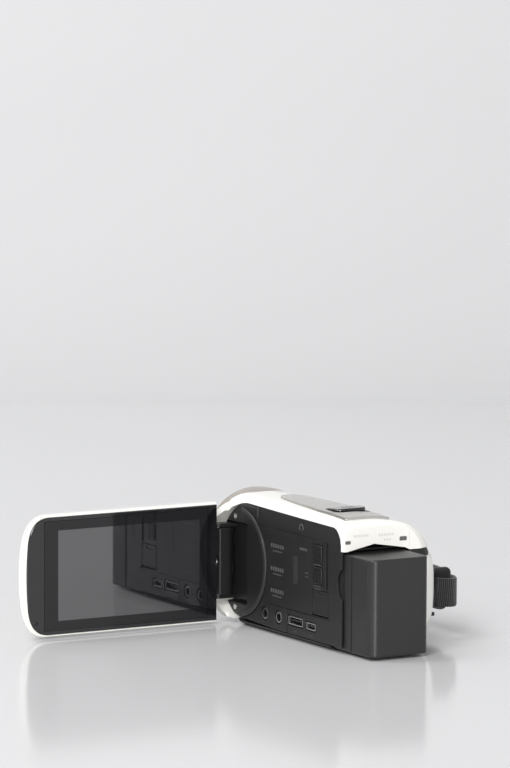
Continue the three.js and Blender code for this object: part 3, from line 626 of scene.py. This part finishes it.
# The lower edge rises towards the lens: what is cut away below it, in (y, z), from the covers and
# the bay's panel, and from the base.
RISE = [(-60, -5), (8, -5), (8, 2.2), (-24, 3.6), (-34, 4.8), (-42, 8), (-60, 12)]
BASE_RISE = [(-60, -5), (-14, -5), (-14, 0), (-36, 2.3), (-60, 3)]
# The rear of the left cover hangs over the battery: what is cut away below it, in (x, z).
OVERHANG = [(-80, -5), (60, -5), (60, 41.3), (17.4, 41.3)]
OVERHANG += [(4.9, 43.8), (-9.6, 41.4), (-11.6, 40.4), (-80, 40.4)]


def top_outline(shrink):
    """The plan of the silver plate on top: a tongue, narrow in front and square behind."""
    x, y0, y1 = TOP["x"], TOP["y0"] + shrink, TOP["y1"] - shrink
    wide, narrow = TOP["half"] - shrink, TOP["tip"] - shrink
    points = [(x - narrow, y0), (x + narrow, y0)]
    points += bend((x + narrow, y0), (x + wide - 1.4, y0 + 14), (x + wide, y0 + 40))
    points += [(x + wide, y1), (x - wide, y1), (x - wide, y0 + 40)]
    return points + bend((x - wide, y0 + 40), (x - wide + 1.4, y0 + 14), (x - narrow, y0))[:-1]


def top_recess():
    return cut(prism("z", 40, 70, top_outline(0)), outer_form(1))


def light_hole(light, shrink):
    a, b = light["w"] / 2 - shrink, light["h"] / 2 - shrink
    x, z = light["x"], light["z"]
    return prism("y", 50, 60, round_rect(x - a, x + a, z - b, z + b, 0.4))


# ---- Covers ----
def cheek():
    """A raised cheek in front of the screen's hinge."""
    y, z, r = BAY["front"], BAY["middle"], BAY["radius"]
    crescent = cut(
        rod("x", 17, 26, y, z, r + CHEEK["foot"], 200, r + CHEEK["edge"]),
        box(0, 40, -30, 40, -20, 80),
        box(-60, 60, -80, 90, 49.5, 80),
    )
    outline = []
    for i in range(240):
        t = 2 * math.pi * (i + 0.5) / 240
        across = CHEEK["width"] * power(math.cos(t), CHEEK["n"])
        outline.append((CHEEK["x"] + across, z + CHEEK["height"] * power(math.sin(t), CHEEK["n"])))
    return cut(common(crescent, prism("y", -70, 0, outline)), box(19.4, 40, -35.7, 60, -20, 80))


def make_left_cover():
    shell = cut(join(outside(), cheek()), outer_form(WALL))
    pocket = common(
        box(13, 40, PIVOT.y - 7.6, -24, 11.5, 39.9),
        rod("x", 10, 50, BAY["front"], BAY["middle"], BAY["radius"] + CHEEK["edge"], 200),
    )
    shell = cut(
        shell,
        prism("x", -60, 60, rim_outline(GAP)),
        box(-60, SEAM_X, -80, 80, -5, 80),
        box(-60, 60, -80, 80, -5, BASE_Z + GAP),
        bay(0, 10, 60),
        pocket,
        prism("y", 42, 80, OVERHANG),
        box(-20, 40, 20, 80, -5, 4.4),
        top_recess(),
        rod("z", 40, 60, LEVER["x"], LEVER["y"], LEVER["stem"] + GAP, 32),
        light_hole(ACCESS_LIGHT, 0),
        light_hole(CHARGE_LIGHT, 0),
        common(prism("x", 10, 60, RISE), box(10, 60, -30, 60, -20, 80)),
    )
    rounded(shell, 0.12, 2, 45)
    finished(shell, "left_shell", "body", "white_shell", ["left_cover"], smooth=46)


def make_right_cover():
    lugs = [
        box(-31.8, -22, y - 2.3, y + 2.3, z + side * 8.6 - 1, z + side * 8.6 + 1)
        for y, z in STRAP_ANCHORS
        for side in (-1, 1)
    ]
    shell = cut(
        outside(),
        outer_form(WALL),
        prism("x", -60, 60, rim_outline(GAP)),
        box(SEAM_X - 0.08, 60, -80, 80, -5, 80),
        box(-60, 60, -80, 80, -5, BASE_Z + GAP),
        box(-20, 60, 46, 80, -5, 40.4),
        box(-60, 60, 46, 80, 37, 40.4),
        top_recess(),
        box(-40, -20, -46.1, -41.9, 24, 34.6),
        *lugs,
    )
    rounded(shell, 0.12, 2, 45)
    finished(shell, "right_shell", "body", "white_shell", ["right_cover"], smooth=46)


def make_front_ring():
    ring = common(outside(), prism("x", -60, 60, rim_outline(0)))
    ring = cut(ring, outer_form(WALL), rod("y", -60, -53, LENS["x"], LENS["z"], 19.6, 120))
    rounded(ring, 0.3, 2, 38, clamp=False)
    finished(ring, "front_trim", "body", "champagne_trim", ["front_ring"])


def make_top_plate():
    plate = cut(common(prism("z", 40, 70, top_outline(GAP)), outer_form(-0.9)), outer_form(0.7))
    a, b = LEVER["length"] / 2 + 0.9, LEVER["width"] / 2 + 2
    x, y = LEVER["x"], LEVER["y"]
    plate = cut(plate, prism("z", 50, 70, round_rect(x - a, x + a, y - b, y + b, 2.5)))
    rounded(plate, 0.2, 2, 38, clamp=False)
    finished(plate, "top_trim", "body", "silver_trim", ["top_plate"])


def make_lever():
    """The zoom lever: a flat pill with three grip ribs, on a short stem."""
    x, y, a, b = LEVER["x"], LEVER["y"], LEVER["length"] / 2, LEVER["width"] / 2
    pill = prism("z", LEVER["z"], LEVER["top"], round_rect(x - a, x + a, y - b, y + b, 3.1, 12))
    rounded(pill, 0.55, 4)
    grooves = [
        box(x + dx - 0.3, x + dx + 0.3, y - 2, y + 2, LEVER["top"] - 0.4, LEVER["top"] + 1)
        for dx in (-2, 0, 2)
    ]
    lever = join(cut(pill, *grooves), rod("z", 50.6, LEVER["z"] + 0.2, x, y, LEVER["stem"], 32))
    finished(lever, "lever_cap", "zoom_lever", "gloss_black", ["zoom_lever"])


# ---- Bay behind the screen ----
def bar(y0, y1, z0, z1, lift=0.04):
    """A printed bar on the panel of the bay."""
    return box(BAY_X - 0.1, BAY_X + lift, y0, y1, z0, z1)


def make_bay_panel():
    plate = common(bay(GAP, BAY_X - PANEL, BAY_X), outside(), box(-60, 60, -80, 90, BASE_Z + GAP, 80))
    slope = [(BAY_X + 0.1, 43.8), (BAY_X + 0.1, 60), (17.2, 60), (BAY_X - 0.02, 43.8)]
    holes = [rod("x", 10, 30, y, JACK_Z, 2.9, 48) for y in JACKS]
    holes += [
        prism("x", 10, 30, round_rect(y0 - 0.5, y1 + 0.5, z0 - 0.5, z1 + 0.5, 0.8))
        for y0, y1, z0, z1 in SOCKETS
    ]
    holes += [
        prism("x", 10, 30, round_rect(y0 - GAP, y1 + GAP, z0 - GAP, z1 + GAP, 0.6))
        for y0, y1, z0, z1 in BUTTONS
    ]
    plate = cut(
        plate,
        well(WELL["r"] + GAP, 10, 30),
        *holes,
        box(10, 30, CARD["y0"] - GAP, CARD["y1"] + GAP, CARD["z0"] - GAP, CARD["z1"] + GAP),
        box(18, 30, SLOT["y0"], SLOT["y1"], SLOT["z0"], SLOT["z1"]),
        rod("x", 10, 30, NOTCH["y"], NOTCH["z"], NOTCH["r"], 96),
        box(18.2, 30, -8, 44, 12.2, 12.8),
        box(18.25, 30, 10.2, 10.7, 0, 12.4),
        box(18.2, 30, -14, 38, 43.3, 43.8),
        prism("y", -13.5, 60, slope),
        prism("x", 10, 60, RISE),
    )
    rounded(plate, 0.14, 2, 30, clamp=False)
    finished(plate, "bay_plate", "body", "black_plastic", ["bay_panel"])
    # A thin near-black sheet inside the cut-through finger notch: painted shade standing in for the dark
    # interior behind it.
    floor = common(
        bay(GAP, 17.5, 17.65),
        rod("x", 10, 30, NOTCH["y"], NOTCH["z"], NOTCH["r"] + 0.6, 96),
        box(0, 40, 0, 52.9, 0, 60),
    )
    finished(floor, "notch_painted_shade", "body", "painted_shade_black")


def make_bay_marks():
    """Generic marks printed on the panel, in place of any lettering, and a narrow label."""
    dark = []
    for z in (36.7, 27.3, 18.3):
        dark += [bar(y, y + 1.1, z - 0.8, z + 0.8) for y in (-2.6, -0.8, 1, 2.8, 4.6, 6.4)]
        dark += [bar(-1, 6, z - 2.3, z - 1.9)]
    dark += [bar(y, y + 0.7, 37.7, 38.8) for y in (20.4, 21.6, 22.8, 24, 25.2)]
    dark += [bar(24.6, 26.8, 27.2, 27.6), bar(24.6, 26.8, 28.8, 29.2)]
    dark += [bar(y - 1.4, y + 1.4, 3.9, 4.15) for y in (17, 29.1)]
    dark += [bar(31.6, 36.9, z, z + 0.3) for z in (33.35, 24.75, 23.55)]
    dark.append(cut(rod("x", 18.1, 18.42, 21, 46.6, 1.7, 48), rod("x", 18, 19, 21, 46.6, 1.1, 48)))
    finished(join(*dark), "bay_marks", "body", "dark_print")
    label = bar(15.3, 19, 23.3, 34.6, 0.05)
    finished(label, "bay_label", "body", "label_grey")


def make_hinge_well():
    """The tray that holds the hinge, with lands above and below a deep pocket and a raised arc."""
    radius = WELL["r"]
    tray = common(bay(GAP, 13.2, BAY_X), well(radius, 10, 30))
    inner = join(well(radius - 1.9, 17.4, 30), box(17.4, 30, -60, -26, -10, 60))
    pocket = common(box(14.2, 30, -60, -24, 8.9, 41.9), well(radius - 1.9, 10, 30))
    screws = [rod("x", 14, 30, -33.2, z, 1.3, 32) for z in HINGE_SCREWS]
    tray = cut(tray, inner, pocket, *screws)
    rounded(tray, 0.3, 3, 30, clamp=False)
    finished(tray, "hinge_tray", "body", "black_plastic", ["hinge_well"])
    ridge = cut(
        rod("x", BAY_X - 0.2, BAY_X + 0.45, WELL["y"], WELL["z"], radius - 0.05, 160),
        rod("x", 10, 30, WELL["y"], WELL["z"], radius - 1.85, 160),
        box(10, 30, -60, -25.5, -10, 60),
    )
    rounded(ridge, 0.28, 3, 30)
    finished(ridge, "hinge_arc", "body", "arc_grey")


def make_sockets():
    """Round jacks and flat sockets: a thin metal lip round a dark mouth."""
    for name, y in zip(("microphone_jack", "av_jack"), JACKS):
        shell = join(rod("x", 6, BAY_X - 0.4, y, JACK_Z, 2.6, 64), box(6, 17, y - 3.4, y + 3.4, 4.6, 11))
        shell = cut(shell, rod("x", 7, 30, y, JACK_Z, 1.75, 64))
        finished(shell, name + "_shell", "body", "black_plastic", [name])
        lip = cut(
            rod("x", 17.6, BAY_X - 0.2, y, JACK_Z, 2.15, 64),
            rod("x", 7, 30, y, JACK_Z, 1.7, 64),
        )
        finished(lip, name + "_lip", "body", "steel")
    for name, (y0, y1, z0, z1) in zip(("video_socket", "data_socket"), SOCKETS):
        shell = prism("x", 9, BAY_X - 0.2, round_rect(y0, y1, z0, z1, 0.6))
        shell = cut(shell, prism("x", 10, 30, round_rect(y0 + 0.4, y1 - 0.4, z0 + 0.4, z1 - 0.4, 0.4)))
        finished(shell, name + "_shell", "body", "steel", [name])
        middle = (z0 + z1) / 2
        tongue = box(9.5, BAY_X - 1.4, y0 + 1.2, y1 - 1.2, middle - 0.4, middle + 0.4)
        liner = box(9.4, 12, y0 + 0.5, y1 - 0.5, z0 + 0.5, z1 - 0.5)
        finished(join(tongue, liner), name + "_tongue", "body", "black_plastic")


def make_buttons():
    for name, (y0, y1, z0, z1) in zip(("power_button", "mode_button"), BUTTONS):
        cap = prism("x", BAY_X - 2.4, BAY_X + 0.35, round_rect(y0, y1, z0, z1, 0.7))
        rounded(cap, 0.3, 4)
        collar = box(BAY_X - 2.3, BAY_X - 1.7, y0 - 0.6, y1 + 0.6, z0 - 0.6, z1 + 0.6)
        finished(join(cap, collar), name + "_cap", name, "button_black", [name])


def make_card_cover():
    plate = box(17.4, BAY_X - 0.05, CARD["y0"], CARD["y1"], CARD["z0"] + 0.9, CARD["z1"])
    grip = prism("x", 18.2, 30, round_rect(33.4, 39.2, 21.4, 22.4, 0.45))
    barrel = rod("y", CARD["y0"] + 0.2, CARD["y1"] - 0.2, BAY_X - 0.85, CARD["z0"] + 0.8, 0.75, 32)
    cover = cut(join(plate, barrel), grip)
    rounded(cover, 0.15, 3, 30, clamp=False)
    finished(cover, "card_door", "card_cover", "black_plastic", ["card_cover"])


def make_rear_marks():
    """Faint generic marks beside the two lights."""
    marks = [box(x, x + 0.7, 50, REAR_Y + 0.03, 46.9, 47.9) for x in (7.6, 8.8, 10, 11.2, 12.4, 13.6)]
    marks += [box(x, x + 0.7, 50, REAR_Y + 0.03, 46.6, 47.6) for x in (-4, -2.8, -1.6, -0.4, 0.8, 2)]
    marks += [box(x, x + 0.7, 50, REAR_Y + 0.03, 44.6, 45.5) for x in (-2.8, -1.6, -0.4)]
    marks = join(*marks)
    marks = cut(marks, box(-60, 60, 0, REAR_Y - 0.05, 0, 80))
    finished(marks, "rear_marks", "body", "print")


# ---- Battery ----
def make_battery():
    x0, x1, y0, y1, z0, z1 = (BATTERY[k] for k in ("x0", "x1", "y0", "y1", "z0", "z1"))
    pack = prism("z", z0, z1, round_rect(x0, x1, y0, y1, 3.4, 12))
    rounded(pack, 0.7, 4, 60, clamp=False)
    groove = prism("z", z0 - 1, z1 + 1, [(x1 - 0.35, 58), (x1 + 1, 57.7), (x1 + 1, 59.4), (x1 - 0.35, 59)])
    seam = cut(
        box(x0 - 1, x1 + 1, 71.2, 71.45, z0 - 1, z1 + 1),
        prism("z", z0, z1, round_rect(x0 + 0.15, x1 - 0.15, y0, y1 + 2, 3.2, 12)),
    )
    pack = cut(pack, box(0.3, 7.9, y0 - 1, y0 + 1.2, 9.2, 14.8), groove, seam)
    finished(pack, "battery_pack", "battery", "battery_plastic", ["battery"])


# ---- Screen ----
def at_screen(obj):
    """A piece drawn from the hinge moves to the open screen's place."""
    obj.data.transform(Matrix.Translation(PIVOT))
    return obj


def screen_outline(shrink):
    x0, x1 = SCREEN["near"] + shrink, SCREEN["near"] + SCREEN["length"] - shrink
    h, r = SCREEN["height"] / 2 - shrink, SCREEN["corner"] - shrink
    points = [(x0, -h), (x1 - r, -h)]
    points += bend((x1 - r, -h), (x1 - 2.6, -h), (x1 - 1, -h + r), 16)
    points += bend((x1 - 1, -h + r), (x1 + 0.6, 0), (x1 - 1, h - r), 16)
    points += bend((x1 - 1, h - r), (x1 - 2.6, h), (x1 - r, h), 16)
    return points + [(x0, h)]


def make_screen_shell():
    """The shell, crowned on its outside, with a far end that slopes in towards its back."""
    half = SCREEN["thick"] / 2
    slices = [(1.9, 5.4, -half), (0.9, 4.4, -half + 0.25), (0.35, 3.6, -half + 0.8)]
    slices += [(0.08, 2.7, -half + 1.7), (0, 1.7, -half + 3.2), (0, 0.8, half - 2.6)]
    slices += [(0, 0.2, half - 1.2), (0.2, 0.2, half - 0.55), (0.6, 0.6, half - 0.4)]
    near, far = SCREEN["near"], SCREEN["near"] + SCREEN["length"]
    rings = []
    for shrink, end, y in slices:
        squeeze = (far - end - near) / (far - shrink - near)
        rings.append([(near + (x - near) * squeeze, y, z) for x, z in screen_outline(shrink)])
    shell = cut(
        skin(rings),
        prism("y", -half + 1.6, half, face_outline(-0.15)),
        rod("x", 0, 5, 0, 0, 1.75, 48),
    )
    finished(at_screen(shell), "screen_shell", "screen", "white_shell", ["screen_back"])


def face_outline(shrink):
    """The black face: flush with the hinge end, close to the upper and lower edges."""
    x0, x1 = SCREEN["near"] + 0.2 + shrink, SCREEN["near"] + 87.9 - shrink
    h, r = SCREEN["height"] / 2 - 0.9 - shrink, 10.5
    points = [(x0, -h), (x1 - r, -h)]
    points += bend((x1 - r, -h), (x1 - 1.9, -h), (x1 - 0.8, -h + r), 16)
    points += bend((x1 - 0.8, -h + r), (x1 + 0.5, 0), (x1 - 0.8, h - r), 16)
    points += bend((x1 - 0.8, h - r), (x1 - 1.9, h), (x1 - r, h), 16)
    return points + [(x0, h)]


def make_screen_face():
    half = SCREEN["thick"] / 2
    slices = [(0, half - 1.4), (0, half - 0.2), (0.12, half - 0.05), (0.3, half)]
    face = skin([[(x, y, z) for x, z in face_outline(shrink)] for shrink, y in slices])
    face = cut(
        face,
        box(6.6, 82.4, half - 0.6, half + 1, -22.4, 22.4),
        box(VIEW["x0"] - 1, VIEW["x1"] + 1, 0, half, -VIEW["z"] - 1, VIEW["z"] + 1),
    )
    finished(at_screen(face), "screen_bezel", "screen", "gloss_black", ["screen_frame"])
    foot = rod("y", half - 0.3, half + 0.35, SCREEN["near"] + 83.9, -18.7, 1.0, 32)
    rounded(foot, 0.25, 3, 30)
    finished(at_screen(foot), "screen_foot", "screen", "black_plastic")


def make_screen_window():
    """The window over the display: its middle shows the display, its border is printed black."""
    face = SCREEN["thick"] / 2 - 0.05
    x0, x1, z = 6.8, 82.2, 22.2
    border = cut(
        box(x0, x1, face - 0.3, face, -z, z),
        box(VIEW["x0"], VIEW["x1"], face - 1, face + 1, -VIEW["z"], VIEW["z"]),
    )
    finished(
        at_screen(border),
        "window_border",
        "screen",
        "screen_glass",
        ["screen_glass"],
    )
    pane = box(VIEW["x0"], VIEW["x1"], face - 0.3, face, -VIEW["z"], VIEW["z"])
    finished(at_screen(pane), "window_pane", "screen", "display")


def make_knuckle():
    half = KNUCKLE["thick"] / 2
    outline = [(KNUCKLE["outer"], half), (KNUCKLE["outer"], -half)]
    outline += arc(-KNUCKLE["inner"] + half, 0, half, 270, 90, 32)
    block = prism("z", -KNUCKLE["height"] / 2, KNUCKLE["height"] / 2, outline)
    rounded(block, 0.6, 4, 60, clamp=False)
    block = cut(block, rod("z", -30, 30, 0, 0, 1, 32))
    finished(
        at_screen(block),
        "hinge_block",
        "screen_arm",
        "black_plastic",
        ["hinge_knuckle"],
    )


# ---- Lens ----
def make_lens():
    x, z = LENS["x"], LENS["z"]
    plate = rod("y", -55, -52.2, x, z, 19.3, 128)
    hood = turned([(13.6, -60), (13.4, -55.2), (12.4, -54.6), (8, -51.6), (8, -51)], "y", x, z, 128)
    slits = [
        box(x + side * 7.5 - 2, x + side * 7.5 + 2, -60, -50, 15 + dz - 0.4, 15 + dz + 0.4)
        for side in (-1, 1)
        for dz in (-1.3, 0, 1.3)
    ]
    face = cut(plate, hood, *slits)
    rounded(face, 0.3, 3, 50, clamp=False)
    finished(face, "lens_face", "body", "gloss_black", ["lens_bezel"])
    profile = [(0.02, -50), (4, -49.85), (8, -49.3), (11, -48.6), (13.4, -48)]
    profile += [(13.4, -44.5), (11, -43.9), (8, -43.2), (4, -42.65), (0.02, -42.5)]
    glass = turned(profile, "y", x, z, 128)
    finished(glass, "front_glass", "body", "lens_glass", ["front_lens"])


# ---- Hand strap ----
def strap_frames(points, steps):
    """Places along the strap's curve, with the sideways direction at each."""
    ends = [tuple(2 * a - b for a, b in zip(points[0], points[1]))]
    tail = [tuple(2 * a - b for a, b in zip(points[-1], points[-2]))]
    p = np.array(ends + list(points) + tail, float)
    found = []
    for i in range(steps + 1):
        u = (len(points) - 1) * i / steps
        k = min(int(u), len(points) - 2)
        t = u - k
        a, b, c, d = p[k], p[k + 1], p[k + 2], p[k + 3]
        first, second, third = c - a, 2 * a - 5 * b + 4 * c - d, 3 * b - a - 3 * c + d
        at = 0.5 * (2 * b + first * t + second * t**2 + third * t**3)
        along = 0.5 * (first + 2 * second * t + 3 * third * t**2)
        side = np.array([along[1], -along[0], 0])
        found.append((at, side / np.linalg.norm(side)))
    return found


def strap_mesh(name, points, outline, steps):
    """A band with a cross-section of (sideways, up) that outline gives at each share of its length."""
    frames = strap_frames(points, steps)
    rings = []
    for i, (at, side) in enumerate(frames):
        rings.append([tuple(at + side * k + np.array([0, 0, h])) for k, h in outline(i / steps)])
    obj = skin(rings)
    lengths = np.cumsum([0] + [np.linalg.norm(b[0] - a[0]) for a, b in zip(frames, frames[1:])])
    centres = np.array([f[0] for f in frames])
    layer = obj.data.uv_layers.new(name="UVMap")
    for loop in obj.data.loops:
        co = np.array(obj.data.vertices[loop.vertex_index].co)
        nearest = int(np.argmin(np.linalg.norm(centres - co, axis=1)))
        up = (co[2] - centres[nearest][2]) / 12 + 0.5
        layer.data[loop.index].uv = (lengths[nearest] / lengths[-1], up)
    obj.name = name
    return obj, lengths[-1]


def make_strap():
    half, thick = STRAP["width"] / 2, STRAP["thick"] / 2

    def webbing_outline(_):
        edge = 0.5
        return [
            (-thick, -half + edge),
            (-thick, half - edge),
            (-thick + 0.3, half),
            (thick - 0.3, half),
            (thick, half - edge),
            (thick, -half + edge),
            (thick - 0.3, -half),
            (-thick + 0.3, -half),
        ]

    band, length = strap_mesh("strap_webbing", STRAP_PATH, webbing_outline, 120)
    finished(band, "strap_webbing", "body", "webbing", ["strap_band"], smooth=50)
    fold = rounded(box(-42.6, -34.6, 33.6, 38.4, 20, 28.6), 2.2, 6, 60)
    finished(fold, "strap_fold", "body", "webbing", smooth=60)

    def pad_outline(share):
        """A crowned cushion, thin along its edges and at its ends."""
        end = max(0.0, 1 - abs(2 * share - 1) ** 4)
        tall = 9 * (0.6 + 0.4 * end**0.5)
        fat = 0.5 + 1.5 * end**0.6
        points = []
        for i in range(40):
            t = 2 * math.pi * (i + 0.5) / 40
            points.append((3.3 + fat * power(math.sin(t), 2.6), tall * power(math.cos(t), 3.2)))
        return points

    pad, _ = strap_mesh("hand_pad", STRAP_PATH[1:6], pad_outline, 90)
    finished(pad, "hand_pad", "body", "pad_fabric", ["strap_pad"], smooth=60)


# ---- CAD pieces with their edges rounded off ----
def refine(name, width, paint=None, tools=()):
    """A CAD piece with its edges rounded off and its flat faces whole, less any tools."""
    mesh = frame["nodes"][name].data.copy()
    mesh.transform(Matrix.Scale(1 / MM, 4))
    if "custom_normal" in mesh.attributes:
        mesh.attributes.remove(mesh.attributes["custom_normal"])
    obj = bpy.data.objects.new(name, mesh)
    SCENE.collection.objects.link(obj)
    if tools:
        cut(obj, *tools)
    rounded(obj, width)
    slot = slots[name]
    finished(obj, name + "_fine", body_of[name], paint or slot, [name])


REFINED = {
    "rear_panel": 0.3,
    "record_button": 0.4,
    "charge_socket": 0.15,
    "access_light": 0.1,
    "charge_light": 0.1,
    "tilt_shaft": 0.2,
    "hinge_screw_upper": 0.1,
    "hinge_screw_lower": 0.1,
    "battery_bay": 0.2,
    "battery_latch": 0.3,
    "lens_cover_switch": 0.3,
    "tripod_socket": 0.15,
    "shutter_blade_upper": 0.08,
    "shutter_blade_lower": 0.08,
    "card_slot": 0.1,
    "memory_card": 0.15,
    "main_board": 0.05,
}

slots = {s["node"]: s["material_slot"] for s in frame["record"]["subparts"]}
body_of = {n: body for body, names in frame["record"]["behaviour"]["bodies"].items() for n in names}


def paint_cad():
    """Every CAD node gets the material of its slot, whether or not it stays in view."""
    for name, obj in frame["nodes"].items():
        obj.data.materials.clear()
        obj.data.materials.append(PAINT[slots[name]])


make_camera()
make_stage()
make_lights()
paint_cad()
make_left_cover()
make_right_cover()
make_front_ring()
make_top_plate()
make_lever()
make_bay_panel()
make_bay_marks()
make_hinge_well()
make_sockets()
make_buttons()
make_card_cover()
make_rear_marks()
make_battery()
make_screen_shell()
make_screen_face()
make_screen_window()
make_knuckle()
make_lens()
make_strap()
refine("base_cover", 0.3, tools=[prism("x", -60, 60, BASE_RISE)])
refine("hinge_bracket", 0.15, paint="black_plastic")
refine("strap_anchor_front", 0.25, paint="black_plastic")
refine("strap_anchor_rear", 0.25, paint="black_plastic")
for refined, edge in REFINED.items():
    refine(refined, edge)
